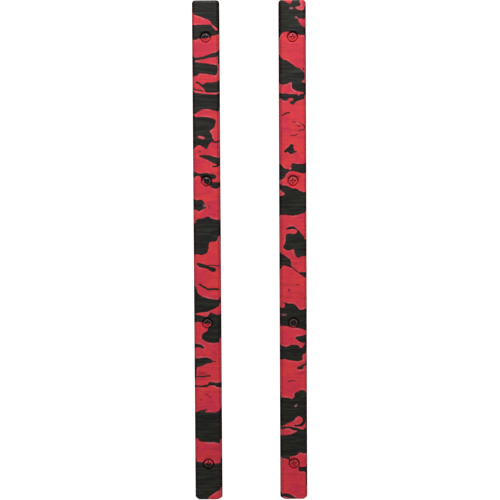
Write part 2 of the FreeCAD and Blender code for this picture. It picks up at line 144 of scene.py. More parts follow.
swirlOfRight = {
    "stretch": [1.015, 0.986, 1.006, 1.016, 1.09],
    "ahead": (-1.06, 0.0),
    "patches": [
        ["black", 1, [(-18, 40), (18, 40), (18, -1.5), (9.5, -1), (9, .4), (8.3, 1.8), (7, 2.2), (5, 2.2),
         (3.5, 2.9), (1.5, 4), (-1, 4.4), (-4, 4.6), (-6, 4.2), (-7.5, 3.2), (-8.5, 1.8), (-10, .5), (-18, .4)]],
        ["red", 1, [(-6, 40), (-6, 26.6), (-4.5, 25.2), (-2.5, 24.3), (-.8, 24.7), (-.2, 26.6), (0, 40)]],
        ["red", 1, [(4.6, 40), (4.6, 26.6), (5, 25.5), (5.7, 24), (5.9, 22.8), (4.5, 22.2), (2.6, 21.8), (2, 21.1),
         (3, 20.4), (4.5, 19.7), (6, 19.4), (7.5, 19.8), (8.6, 20.6), (10, 22), (18, 22.4), (18, 40)]],
        ["red", 1, [(18, 12.6), (9.8, 12.7), (7, 13.3), (5, 13.8), (4.2, 12.7), (4.8, 11), (6, 9.4), (7.5, 8.2),
         (9, 7.1), (18, 6.6)]],
        ["black", 1, [(-18, -13), (-8.5, -14), (-7, -14.8), (-5, -15.6), (-3, -16.6), (-1, -18), (1, -19.5),
         (2.5, -20.8), (4, -21.3), (5.5, -22), (7, -23.5), (8.3, -25), (9, -27), (9, -29), (8.4, -30), (6.6, -31),
         (8, -32.2), (9.5, -33), (18, -33.2), (18, -41.3), (9, -41.5), (8.4, -43.6), (5.5, -44.6), (3.5, -45.2),
         (1.9, -46), (1.2, -47.1), (0, -47.8), (-1.6, -47.3), (-2.3, -45.8), (-1.2, -45.1), (.3, -44.6),
         (.4, -43.6), (-1.2, -43.2), (-2.8, -43.5), (-3.6, -44.3), (-4.7, -45), (-6.2, -45), (-7.6, -44.4),
         (-9, -43.8), (-18, -43)]],
        ["black", 1, [(6.9, -22.1), (7.8, -21.4), (8.7, -22.1), (7.8, -22.8)]],
        ["red", 1, [(-18, -34), (-8, -33.5), (-5, -33.1), (-3.3, -32.6), (-2.2, -31.8), (-1, -31.8), (-.6, -32.7),
         (-.8, -34), (-.3, -35.8), (.6, -37), (2, -37.6), (4, -38.2), (6, -38.8), (7.8, -39.5), (5, -40.1),
         (2, -40.3), (-3, -40), (-6, -39.7), (-18, -39.3)]],
        ["black", 2, [(-6.6, 21.8), (-6, 23), (-4.5, 24.6), (-3, 25.8), (-2, 27.2), (-.6, 27.6), (.6, 26.6),
         (.3, 25), (.9, 23.6), (1.6, 22.6), (3.2, 22), (2.2, 21.4), (.5, 21.2), (-.5, 20.4), (-1.8, 20),
         (-2.8, 20.8), (-3.8, 21.8), (-5, 21.4)]],
        ["black", 2, [(-18, 12), (-8.5, 12.2), (-7.5, 11.4), (-6.5, 10.3), (-5, 9.6), (-3.4, 9.3), (-2.2, 9.1),
         (-1.2, 9.9), (-1.4, 11.4), (-1.2, 13), (0, 13.8), (2, 13.4), (5, 13.2), (8, 13.3), (18, 13.4), (18, 6.1),
         (9.5, 6.2), (6, 6.6), (4, 7), (2, 7.6), (0, 7.9), (-1.5, 7.9), (-3, 7.6), (-4.2, 6.7), (-5, 5.6),
         (-5.7, 4.4), (-6.4, 3.1), (-7.3, 2.2), (-8.3, 1.6), (-18, 1.4)]],
        ["black", 2, [(-18, -2), (-8, -2.2), (-5, -2.4), (-3.2, -3.1), (-1.5, -4.1), (0, -4.5), (1.5, -4.3),
         (2.6, -4.8), (4, -5.5), (5.5, -6.3), (7, -6.8), (8.5, -7.3), (18, -7.6), (18, -20), (9.6, -20.6),
         (8.6, -22), (7, -22.4), (5, -22.9), (3, -23.5), (0, -24), (-4, -23.6), (-8, -23.3), (-18, -23)]],
        ["red", 2, [(-18, -6.4), (-8.3, -6.3), (-7.3, -7.2), (-6.1, -8.2), (-6.6, -9.1), (-8.2, -9.8),
         (-18, -10.3)]],
        ["black", 2, [(-5.3, -33.6), (-4, -32.4), (-2.5, -31.6), (-.8, -31.3), (.8, -31.8), (2, -32.9),
         (3.3, -33.9), (4.3, -34.8), (5, -35.9), (6, -37), (7, -38), (7.9, -39.2), (8.4, -40.7), (9.5, -41.2),
         (18, -41.3), (18, -52.4), (9.5, -52.6), (7, -52.9), (5, -53.4), (3.5, -53.9), (2.8, -53.8), (2, -52.8),
         (1.2, -51.7), (.6, -50.4), (.5, -49.4), (.6, -48.4), (0, -47.9), (-1.5, -48.3), (-3, -48.7),
         (-4.5, -48.7), (-6, -48), (-7.1, -46.9), (-7.2, -45.8), (-6.3, -44.7), (-5.9, -43.4), (-5.6, -42),
         (-5.6, -40), (-5.4, -38.2), (-4.6, -37), (-3.4, -36.4), (-2.4, -36.4), (-1, -36.8), (.8, -36.8),
         (2.2, -36.2), (2.8, -35.1), (2.2, -34.1), (.4, -33.5), (-2, -33.5), (-4, -33.9)]],
        ["black", 3, [(-18, 51.8), (-9.5, 51.2), (-8.5, 50.7), (-7, 50), (-5.5, 49), (-4, 48), (-3, 47.2),
         (-2.2, 46.3), (-1.9, 45.2), (-1.8, 44), (-1.5, 42.8), (-1, 41.7), (0, 40.6), (-.8, 40.4), (-2, 40.9),
         (-3.5, 41.4), (-5, 41.9), (-6.5, 42.2), (-8, 42), (-8.4, 40.6), (-18, 40.4)]],
        ["black", 3, [(3.6, 36.9), (4.6, 37.5), (7, 37.5), (9.5, 37.5), (18, 37.6), (18, 33.8), (9.4, 33.8),
         (8, 34), (6.8, 34.6), (5.6, 35.4), (4.4, 36.2)]],
        ["black", 3, [(-18, 11.9), (-8.5, 12), (-7, 12.3), (-6.3, 13.2), (-6.3, 14.4), (-7.2, 15.6), (-7.9, 16.4),
         (-6.5, 16), (-5, 15.4), (-3, 15.1), (-1, 15), (1, 14.4), (2, 13.5), (2.8, 12.3), (3.6, 11.3), (4.6, 10.7),
         (6, 10.6), (7.5, 11), (8.7, 11.5), (9.6, 12), (18, 12.2), (18, -4), (9.6, -4), (8, -4), (6.5, -3.5),
         (5, -3), (3.5, -2.6), (2.6, -2.7), (1, -2.4), (-1, -2.3), (-2.6, -2), (-4, -1.6), (-5.5, -1.3),
         (-7, -1.2), (-8.5, -.8), (-18, -.5)]],
        ["black", 3, [(18, -7), (9.6, -7), (8, -7.4), (6.5, -7.9), (5, -8.3), (3.3, -8.3), (2, -8.6), (1.2, -9.4),
         (1.3, -10.2), (2.2, -11), (3.5, -12), (5, -12.8), (6.5, -13.2), (8, -13.2), (9, -14.5), (18, -16)]],
        ["black", 3, [(-18, -15), (-8.7, -14.8), (-7.5, -15.3), (-6, -15.9), (-4.5, -15.7), (-2, -14.6),
         (0, -14.4), (2, -14.5), (3.4, -15), (4.2, -16), (5, -16.8), (5.9, -16.6), (6.6, -15.7), (7.5, -14.7),
         (8.5, -13.6), (18, -13), (18, -19.4), (9.6, -19.6), (8.5, -20.3), (7.5, -20.9), (6.6, -21.6),
         (6.2, -22.7), (6.3, -24), (6.3, -25.2), (5.5, -25.9), (4, -26.2), (2, -26.3), (-1, -25.9), (-4.5, -25.3),
         (-8, -24.7), (-18, -24.2)]],
        ["black", 3, [(18, -25.5), (9.6, -25.8), (8.9, -26.8), (8, -27.8), (6.8, -28.4), (5.5, -29), (4, -29.8),
         (2.8, -30.5), (2, -31.3), (3.2, -31.8), (4.6, -32), (6, -32), (6.8, -31), (7.3, -29.9), (8.2, -29.1),
         (18, -28.4)]],
        ["black", 4, [(.3, 49.8), (.4, 51), (1.4, 52.2), (3, 52.8), (4.3, 53.6), (5.6, 54.1), (7, 53.9),
         (8.2, 53.2), (9, 52.3), (18, 51.8), (18, 9.4), (9.8, 9.3), (8.2, 8.6), (7, 8.4), (5.5, 8.9), (4, 8.8),
         (3, 8), (2, 7.2), (.5, 6.7), (-1.5, 6.4), (-3.2, 5.9), (-2.9, 3.8), (-3.6, 3.2), (-4.4, 4.3), (-6, 4.7),
         (-8, 5), (-8.8, 5.6), (-10, 6.6), (-18, 7), (-18, 49.2), (-8, 48.7), (-4, 48.3), (-2.5, 47.8), (-1, 47.6),
         (0, 48.5)]],
        ["red", 4, [(-18, 28.6), (-8, 28.6), (-6, 29), (-4.5, 30.1), (-2, 31), (-.5, 31.6), (.5, 32.6),
         (1.5, 33.9), (2.7, 34.7), (4, 35), (5.2, 34.5), (5.9, 33.2), (6.1, 31.6), (5.5, 30.5), (4.4, 29.6),
         (2.5, 29.1), (.6, 28.9), (-.4, 28.5), (1, 28), (3, 27.6), (5.2, 27.8), (6.8, 28.5), (7.8, 29.7),
         (8.4, 31.3), (8.9, 30.5), (8.9, 28.5), (8, 26.8), (6.5, 25.9), (5, 25.8), (3.4, 26.4), (1, 27),
         (-1.5, 27.6), (-5, 27.8), (-18, 27.9)]],
        ["red", 4, [(-18, 26.4), (-8, 26.1), (-5.5, 26.5), (-4, 26.6), (-2.6, 25.9), (-1, 25.2), (1, 24.9),
         (2.8, 24.7), (2, 24.1), (.6, 23.5), (-1, 22.8), (-3, 22.1), (-6, 21.6), (-8, 22), (-18, 22.5)]],
        ["black", 4, [(3.3, -.2), (4.2, -1), (5.5, -1.3), (6.8, -1.2), (8, -.8), (9.2, -.4), (18, 0), (18, -13),
         (9.9, -12.5), (9.6, -7), (9, -5.4), (8, -4.6), (6.5, -4.2), (5, -4.4), (3.8, -4.2), (3.2, -3.2),
         (3.4, -1.8)]],
        ["black", 4, [(-18, -18.2), (-8.5, -18.8), (-6.5, -19), (-4.5, -19.2), (-2.5, -19.8), (-1, -20.7),
         (.3, -21.6), (1.1, -22.4), (0, -22.7), (-1.5, -22.5), (-3.5, -21.9), (-5.5, -21.6), (-7.5, -21.1),
         (-8.8, -20.6), (-9.4, -21.6), (-8.7, -22.5), (-7, -23.1), (-5, -23.6), (-3, -24.1), (0, -24.7), (1, -40),
         (-18, -40)]],
    ],
    "threads": [
        ["red", 1, .6, [(2.6, 14.5), (3.6, 13.8), (4.8, 13.1)]],
        ["red", 1, .85, [(3.4, -40.6), (4.4, -40.6), (5.4, -40.6)]],
        ["black", 2, 1.1, [(-7.7, 47.7), (-6.6, 48.9), (-5, 49.9), (-3.5, 50.2), (-1.8, 50.2)]],
        ["black", 2, .65, [(-.5, 44.3), (1.5, 43.3), (3, 42.6)]],
        ["black", 2, .75, [(5.4, 42.8), (7, 41.6), (8.3, 40.2), (8.8, 39), (8, 38.2), (6.5, 37.8), (5, 37.2),
         (3.6, 36.6)]],
        ["black", 2, .65, [(2.5, 41.3), (4, 40.6), (5.5, 40.2)]],
        ["black", 2, .65, [(-2, 34.4), (-.5, 33.8), (1, 33.8), (2.5, 34.4), (4, 34.9)]],
        ["black", 3, .8, [(-.6, 40.8), (.8, 39.6), (2.4, 38.2), (4, 36.9)]],
        ["black", 3, .5, [(1.5, 28.7), (3, 28.6), (4.6, 28.7)]],
        ["black", 3, .75, [(-4.4, -40.8), (-2.6, -40.5), (-.6, -40.2), (1.4, -40.3)]],
    ],
    "smudges": [
        [1, -.8, 20.9, 1.3, .6, 0, .7], [1, 2.5, 14.6, .6, .5, 0, .8], [2, 4.6, 43.4, .9, .5, 0, -.8],
        [2, 3.3, 42.7, 1.6, .7, 0, .35], [2, -8.3, 36, .6, .6, 0, -.8], [2, -1.8, 9.9, .8, .5, 20, .7],
        [2, 4.3, 4, 1.1, .7, 0, -.75], [2, 8.9, -2, .7, 1, 0, -.5], [3, -3.2, 24.7, .7, .9, 15, -1.2],
        [3, 2, 43.8, .8, .8, 0, -.3], [3, -7.4, 6.9, 1.9, .45, 5, .6], [3, 6.3, -34.2, 2, .5, 0, -.6],
        [3, 5.6, -33, 1.8, .35, 10, .5], [3, .2, -45.8, 1.2, .5, 0, -.4], [3, -4.5, -36, .8, .4, 0, -.35],
        [4, 1.4, 42.7, 1, .5, 45, .85], [4, 1.2, -17.7, 1.2, .4, 0, -.3], [4, 8.5, -17.2, .7, .4, 0, -.7],
        [4, 8.6, -23.3, .6, .4, 0, -.6], [4, 6.3, 5, .8, .6, 0, -.35], [4, 4.7, -9, .8, 1.4, 0, -.35],
    ],
}
swirlOf = {"left": swirlOfLeft, "right": swirlOfRight}
swirl = {
    "farField": 3.0,  # mm from a boundary beyond which only the side of it matters
    "curveSteps": 4,  # straight runs between two points of an outline
    "wallBlend": (6.5, 10.4),  # mm down from the top face, over which the underside's own swirl takes over
    "endMargin": 0.5,  # mm from the rail's ends at which the drawing stops moving on
    "threadTaper": 6,  # how soon a thread reaches its full width
    "threadEnd": 0.25,  # its width at its ends, as a share
    "smudgeFall": 0.8,  # how steeply a smudge fades at its rim
    "sideStep": 40,  # mm along, between the undersides of the two rails
}


def smoothLine(points, closed):
    # A line that passes through the points and turns smoothly at each
    spots = np.array(points, float)
    ahead, behind = np.roll(spots, -1, 0), np.roll(spots, 1, 0)
    if not closed:
        ahead[-1], behind[0] = spots[-1], spots[0]
    heading = ahead - behind
    heading /= np.maximum(np.linalg.norm(heading, axis=1, keepdims=True), tiny)
    line = []
    for i in range(len(spots) if closed else len(spots) - 1):
        onward = (i + 1) % len(spots)
        start, end = spots[i], spots[onward]
        chord = np.linalg.norm(end - start)
        turnIn, turnOut = heading[i] * chord, heading[onward] * chord
        for t in np.arange(swirl["curveSteps"]) / swirl["curveSteps"]:
            line.append(start * (2 * t**3 - 3 * t**2 + 1) + turnIn * (t**3 - 2 * t**2 + t)
                        + end * (3 * t**2 - 2 * t**3) + turnOut * (t**3 - t**2))
    if not closed:
        line.append(spots[-1])
    return np.array(line)


def onRail(points, screw, pattern, screwsY):
    # From mm beside a screw to the rail's own mm, stretched so that neighbouring screws' drawings meet
    return [(across, screwsY[screw - 1] + along * pattern["stretch"][screw - 1 if along > 0 else screw])
            for across, along in points]


def closeTo(spots, line):
    far = swirl["farField"]
    return np.where(np.all((spots > line.min(0) - far) & (spots < line.max(0) + far), axis=1))[0]


def toSegment(spots, start, end):
    # Distance to a segment, the share of the way along it, and which side of it the spots are on
    run = end - start
    offset = spots - start
    share = np.clip(offset @ run / max(run @ run, tiny**2), 0, 1)
    gap = offset - share[:, None] * run
    side = np.sign(run[0] * offset[:, 1] - run[1] * offset[:, 0])
    return np.hypot(gap[:, 0], gap[:, 1]), share, np.where(side == 0, 1, side)


def swirlField(spots, pattern, screwsY):
    # Millimetres from the nearest boundary, above 0 in the black
    far = swirl["farField"]
    field = np.full(len(spots), -far)
    for colour, screw, points in pattern["patches"]:
        loop = smoothLine(onRail(points, screw, pattern, screwsY), True)
        near = closeTo(spots, loop)
        here = spots[near]
        nearest = np.full(len(here), far)
        inside = np.zeros(len(here), bool)
        for start, end in zip(loop, np.roll(loop, -1, 0)):
            nearest = np.minimum(nearest, toSegment(here, start, end)[0])
            if start[1] != end[1]:
                crosses = (start[1] > here[:, 1]) != (end[1] > here[:, 1])
                at = start[0] + (here[:, 1] - start[1]) * (end[0] - start[0]) / (end[1] - start[1])
                inside ^= crosses & (here[:, 0] < at)
        depth = np.where(inside, nearest, -nearest)
        if colour == "black":
            field[near] = np.maximum(field[near], depth)
        else:
            field[near] = np.minimum(field[near], -depth)
    return field


def swirlThreads(spots, pattern, screwsY):
    # For the nearest thread: which side of its middle line, its half width there, and whether it is black
    far = swirl["farField"]
    aside, half, black = np.full(len(spots), far), np.full(len(spots), -far), np.zeros(len(spots))
    for colour, screw, width, points in pattern["threads"]:
        line = smoothLine(onRail(points, screw, pattern, screwsY), False)
        near = closeTo(spots, line)
        for i in range(len(line) - 1):
            away, share, side = toSegment(spots[near], line[i], line[i + 1])
            progress = (i + share) / (len(line) - 1)
            toEnd = np.minimum(progress, 1 - progress)
            taper = np.minimum(1, toEnd * swirl["threadTaper"] + swirl["threadEnd"])
            past = toEnd < 1e-6  # beyond the thread's ends
            closer = away < np.abs(aside[near])
            chosen = near[closer]
            aside[chosen] = (away * side)[closer]
            half[chosen] = np.where(past, -away, width / 2 * taper)[closer]
            black[chosen] = 1.0 if colour == "black" else 0.0
    return aside, half, black


def swirlSmudges(spots, pattern, screwsY):
    tone = np.zeros(len(spots))
    for screw, across, along, halfAcross, halfAlong, turn, strength in pattern["smudges"]:
        offset = spots - np.array(onRail([(across, along)], screw, pattern, screwsY)[0])
        angle = math.radians(turn)
        acrossPart = (offset[:, 0] * math.cos(angle) + offset[:, 1] * math.sin(angle)) / halfAcross
        alongPart = (offset[:, 1] * math.cos(angle) - offset[:, 0] * math.sin(angle)) / halfAlong
        tone += strength * np.exp(-(acrossPart**2 + alongPart**2) ** 1.5 * swirl["smudgeFall"])
    return np.clip(tone, -1, 1)


def undersideSwirl(spots, side):
    # Wide bands that wander along the rail, out of sight of the drawn ones, with lengths and widths in mm
    x, y = spots[:, 0], spots[:, 1] + swirl["sideStep"] * sides.index(side)
    bands = np.sin(y / 13 + 1.7 * np.sin(x / 7 + y / 31))
    wisps = np.sin(y / 5.3 - x / 9 + 2 * np.sin(y / 23))
    return 2.2 * bands + 1.3 * wisps - 0.4


def storeSwirl(mesh, place, drawn, under, paintedShading, side, screwsY):
    pattern = swirlOf[side]
    aside, half, black = swirlThreads(drawn, pattern, screwsY)
    stored = {
        "swirlField": swirlField(drawn, pattern, screwsY) * (1 - under) + undersideSwirl(place, side) * under,
        "threadSide": aside,
        "threadHalf": half * (1 - under) - swirl["farField"] * under,
        "threadBlack": black,
        "smudge": swirlSmudges(drawn, pattern, screwsY) * (1 - under),
        # painted shading: painted shade below 0, painted highlight above 0
        "paintedShading": paintedShading,
    }
    for name, values in stored.items():
        mesh.attributes.new(name, "FLOAT", "POINT").data.foreach_set("value", values.astype(np.float32))


# Meshes are joined up from patches of quads that share their border points

def loopOf(acrossLines, alongLines):
    # The border of a grid, anticlockwise from its lowest corner
    bottom = [(x, alongLines[0]) for x in acrossLines[:-1]]
    right = [(acrossLines[-1], y) for y in alongLines[:-1]]
    top = [(x, alongLines[-1]) for x in acrossLines[:0:-1]]
    left = [(acrossLines[0], y) for y in alongLines[:0:-1]]
    return np.array(bottom + right + top + left)


def roundedLoop(unitLoop, halfAcross, halfAlong, radius):
    # Points on a rounded rectangle, and the way out from it at each
    spots = unitLoop * (halfAcross, halfAlong)
    inner = np.array((halfAcross - radius, halfAlong - radius))
    core = np.clip(spots, -inner, inner)
    out = spots - core
    out = out / np.maximum(np.linalg.norm(out, axis=1, keepdims=True), tiny)
    return core + out * radius, out


def raised(spots, height):
    return np.column_stack([spots, np.broadcast_to(height, len(spots))])


def newStore():
    return {"points": [], "drawn": [], "under": [], "paintedShading": [], "faces": []}


def addPatch(store, rows, drawn=None, under=0, paintedShading=0, ring=True, keep=None):
    # rows is an array of points, rows by columns by xyz. A ring's last column joins its first. drawn is where
    # on the flat drawing of the swirl each point is, if not straight below it. The shading value is painted
    # shading: below 0 it darkens the colour as painted shade, above 0 it lightens it as a painted highlight.
    rows = np.asarray(rows, float)
    count, width = rows.shape[:2]
    first = sum(len(part) for part in store["points"])
    drawn = rows[:, :, :2] if drawn is None else np.asarray(drawn, float)
    store["points"].append(rows.reshape(-1, 3))
    store["drawn"].append(drawn.reshape(-1, 2))
    store["under"].append(np.broadcast_to(under, (count, width)).reshape(-1))
    store["paintedShading"].append(np.broadcast_to(paintedShading, (count, width)).reshape(-1))
    i, j = np.meshgrid(np.arange(count - 1), np.arange(width if ring else width - 1), indexing="ij")
    if keep is not None:
        i, j = i[keep], j[keep]
    i, j = i.ravel(), j.ravel()
    onward = (j + 1) % width
    quads = np.stack([i * width + j, i * width + onward, (i + 1) * width + onward, (i + 1) * width + j], 1)
    store["faces"].append(quads + first)


def finishedPiece(name, store, side, screwsY, centreX, sharpAngle, ahead=(0, 0)):
    # One mesh in which patches share the points on their borders, with the swirl stored on its points
    points, drawn, under, paintedShading, quads = [np.concatenate(parts) for parts in store.values()]
    keys = np.round(points * 1e4 + 0.137).astype(np.int64)  # points within 0.1 micron are one
    _, firsts, same = np.unique(keys, axis=0, return_index=True, return_inverse=True)
    faces = [list(dict.fromkeys(face)) for face in same.reshape(-1)[quads].tolist()]
    faces = [face for face in faces if len(face) > 2]
    mesh = bpy.data.meshes.new(name)
    mesh.from_pydata((points[firsts] * mm).tolist(), [], faces)
    mesh.validate()

    drawn = drawn[firsts]
    end = railShape["halfLength"] - swirl["endMargin"]
    drawn[:, 1] = np.clip(drawn[:, 1] - ahead[0] - ahead[1] * drawn[:, 1], -end, end)
    storeSwirl(mesh, points[firsts, :2], drawn, under[firsts], paintedShading[firsts], side, screwsY)

    cleaner = bmesh.new()
    cleaner.from_mesh(mesh)
    bmesh.ops.recalc_face_normals(cleaner, faces=cleaner.faces)
    cleaner.to_mesh(mesh)
    cleaner.free()
    mesh.shade_smooth()
    mesh.set_sharp_from_angle(angle=math.radians(sharpAngle))
    mesh.transform(Matrix.Translation((centreX * mm, 0, 0)))
    piece = bpy.data.objects.new(name, mesh)
    scene.collection.objects.link(piece)
    return piece


# The rail, in mm about its own middle. Sizes are the part's own.
railShape = {
    "halfWidth": 10.0,
    "halfLength": 181.0,
    "height": 9.5,
    "draft": 9.0,  # degrees
    "planRadius": 2.4,
    "topRadius": 1.0,
    "footRadius": 0.4,
    "seatHeight": 6.4,
    # (radius, height) down a screw hole: its broken edge, the sunk seat, the clearance hole, its broken edge
    "holeProfile": [(4.35, 9.5), (4.17, 9.43), (4.1, 9.25), (4.1, 8.6), (4.1, 7.9), (4.1, 7.2), (4.1, 6.6),
                    (4.04, 6.46), (3.9, 6.4), (3.3, 6.4), (2.6, 6.4), (1.9, 6.4), (1.8, 6.3), (1.8, 4.8),
                    (1.8, 3.2), (1.8, 1.6), (1.8, 0.1), (1.9, 0.0)],
    "coreHalfWidth": 7.0,  # of the pockets in the underside
    "coreRadius": 1.2,
    "coreLength": 27.8,  # of each pocket between two screws
    "coreCount": 3,  # between two screws
    # (mm wider than the pocket, height, mm rounder) up a pocket's wall to its floor
    "coreProfile": [(0.2, 0.0, 0.2), (0.06, 0.06, 0.06), (0, 0.2, 0), (0, 1.5, 0), (0, 3.0, 0), (0, 4.4, 0),
                    (-0.1, 4.7, -0.1), (-0.4, 4.8, -0.4)],
    "coreFloorInset": 0.7,
    "ribWidth": 2.5,
    "bossHalf": 7.0,
    "endWall": 3.0,
    "cell": 0.6,  # size of the mesh's quads, fine enough to carry the swirl
    "edgeCuts": (5, 10, 3),  # quads round the top edge, down the wall and round the foot
    "holeBlock": 6.0,  # half width of the square of mesh that surrounds a screw hole
    "coreMargin": 0.5,  # mesh round a pocket's edge
    "edgePaintedShading": ((0, .3, .8, 1.15, 1.5, 3, 9.8), (0, -.45, -.45, .1, .3, -.15, -.2)),  # mm down, and painted shading there: painted shade where the edge starts to round, a painted highlight line below it, painted shade down the wall
    "flatTop": (6.8, 177.8),  # half size of the top face's grid, inside the rounded edge
    "flatTopLine": 6.4,  # across, of a grid line beside the screw holes' blocks
    "flatTopRing": (2.8, 0.7),  # inset and corner radius of a loop between that grid and the edge
    "flatFoot": (8.6, 179.6),
    "sharpAngle": 35,  # degrees, above which an edge isn't shaded smooth
}


def linesBetween(stops):
    # Grid lines through the stops, no further apart than a cell
    lines = [stops[0]]
    for low, high in zip(stops, stops[1:]):
        cuts = max(1, round((high - low) / railShape["cell"]))
        lines += [low + (high - low) * i / cuts for i in range(1, cuts + 1)]
    return lines


def linesIn(lines, low, high):
    return [line for line in lines if low - 1e-6 < line < high + 1e-6]


def edgeProfile():
    # The outside from the top face's edge round to the foot: (inset, height, corner radius, mm from the edge)
    r = railShape
    topCuts, wallCuts, footCuts = r["edgeCuts"]
    draft, quarter = math.radians(r["draft"]), math.radians(90)
    lean = math.tan(draft)
    wallTopHeight = r["height"] - r["topRadius"] + r["topRadius"] * math.sin(draft)
    wallTop = wallTopHeight * lean
    centreInset = wallTop + r["topRadius"] * math.cos(draft)
    footUp = r["footRadius"] * (1 + math.sin(draft))
    footCentre = footUp * lean + r["footRadius"] * math.cos(draft)
    profile = []
    for i in range(topCuts + 1):
        angle = quarter + (draft - quarter) * i / topCuts
        inset = centreInset - r["topRadius"] * math.cos(angle)
        profile.append((inset, r["height"] - r["topRadius"] * (1 - math.sin(angle)),
                        r["planRadius"] - max(0, inset - wallTop), r["topRadius"] * (quarter - angle)))
    fillet = profile[-1][3]
    wallLength = (wallTopHeight - footUp) / math.cos(draft)
    for i in range(1, wallCuts + 1):
        down = wallLength * i / wallCuts
        height = wallTopHeight - down * math.cos(draft)
        profile.append((height * lean, height, r["planRadius"], fillet + down))
    for i in range(1, footCuts + 1):
        angle = draft - (draft + quarter) * i / footCuts
        profile.append((footCentre - r["footRadius"] * math.cos(angle),
                        r["footRadius"] * (1 + math.sin(angle)), r["planRadius"] - r["footRadius"] * i / footCuts,
                        profile[-1][3] + r["footRadius"] * (draft + quarter) / footCuts))
    return profile


def flatGrid(store, acrossLines, alongLines, height, under, blocks=()):
    # A level grid that leaves out the blocks, which are (half width, low, high)
    x, y = np.meshgrid(acrossLines, alongLines)
    middleX, middleY = (x[1:, 1:] + x[:-1, :-1]) / 2, (y[1:, 1:] + y[:-1, :-1]) / 2
    keep = np.ones(middleX.shape, bool)
    for half, low, high in blocks:
        keep &= ~((np.abs(middleX) < half) & (middleY > low) & (middleY < high))
    addPatch(store, np.dstack([x, y, np.full(x.shape, height)]), under=under, ring=False, keep=keep)


def pocketSpans(screwsY):
    # (low, high) of each pocket in the underside, between the ribs, the screws' bosses and the end walls
    r = railShape
    spans = []
    for screwY in sorted(screwsY)[:-1]:
        for i in range(r["coreCount"]):
            low = screwY + r["bossHalf"] + i * (r["coreLength"] + r["ribWidth"])
            spans.append((low, low + r["coreLength"]))
    inner, outer = max(screwsY) + r["bossHalf"], r["halfLength"] - r["endWall"]
    return spans + [(inner, outer), (-outer, -inner)], inner, outer


def addOutside(store, topX, topY, footX, footY):
    # From the top face over the rounded edge and down the wall to the foot
    r = railShape
    unit = loopOf(topX, topY) / r["flatTop"]
    flatInset, flatRadius = r["flatTopRing"]
    loops = [(r["halfWidth"] - r["flatTop"][0], r["height"], 0, 0), (flatInset, r["height"], flatRadius, 0)]
    rings, drawn = [], []
    for inset, height, radius, down in loops + edgeProfile():
        spots, way = roundedLoop(unit, r["halfWidth"] - inset, r["halfLength"] - inset, radius)
        if down == 0:
            rim, out = spots, way  # set last where the rounded edge starts
        rings.append(raised(spots, height))
        drawn.append(rim + out * down)
    low, high = swirl["wallBlend"]
    rings.append(raised(loopOf(footX, footY), 0))
    drawn.append(rim + out * high)
    downs = np.array([down for *_, down in loops + edgeProfile()] + [high])[:, None]
    # Painted shading round the edge: a painted shade line, a painted highlight line, then painted shade down the
    # wall
    paintedShading = np.interp(downs, *r["edgePaintedShading"])
    paintedShading[-1] = 0
    addPatch(store, rings, drawn, np.clip((downs - low) / (high - low), 0, 1), paintedShading)


def addScrewHole(store, square, screwY):
    # The sunk seat, its floor and the clearance hole, within the square of mesh left out for them
    r = railShape
    centred = square - (0, screwY)
    way = centred / np.linalg.norm(centred, axis=1, keepdims=True)
    (mouth, top), (foot, _) = r["holeProfile"][0], r["holeProfile"][-1]
    loops = [(centred * (1 - share) + way * mouth * share, top) for share in (0, 1 / 3, 2 / 3)]
    loops += [(way * radius, height) for radius, height in r["holeProfile"]]
    loops += [(way * foot * (1 - share) + centred * share, 0.0) for share in (1 / 4, 1 / 2, 3 / 4, 1)]
    heights = np.array([height for _, height in loops])[:, None]
    under = np.clip((r["seatHeight"] - heights) / r["seatHeight"], 0, 1)
    addPatch(store, [raised(spots + (0, screwY), height) for spots, height in loops], under=under)


def addPocket(store, low, high, coreX, footY):
    # A pocket in the underside, with rounded corners and a floor
    r = railShape
    half, margin = r["coreHalfWidth"], r["coreMargin"]
    middle, halfLong = (low + high) / 2, (high - low) / 2
    alongLines = linesIn(footY, low - margin, high + margin)
    border = loopOf(coreX, alongLines)
    unit = (border - (0, middle)) / (half + margin, halfLong + margin)
    rings = [raised(border, 0)]
    for grow, height, rounder in r["coreProfile"]:
        spots, _ = roundedLoop(unit, half + grow, halfLong + grow, r["coreRadius"] + rounder)
        rings.append(raised(spots + (0, middle), height))
    floor = r["coreProfile"][-1][1]
    shrunk = np.array((half, halfLong)) - r["coreFloorInset"]
    rings.append(raised(unit * shrunk + (0, middle), floor))
    addPatch(store, rings, under=1)
    floorX = [x / (half + margin) * shrunk[0] for x in coreX]
    floorY = [(y - middle) / (halfLong + margin) * shrunk[1] + middle for y in alongLines]
    flatGrid(store, floorX, floorY, floor, 1)


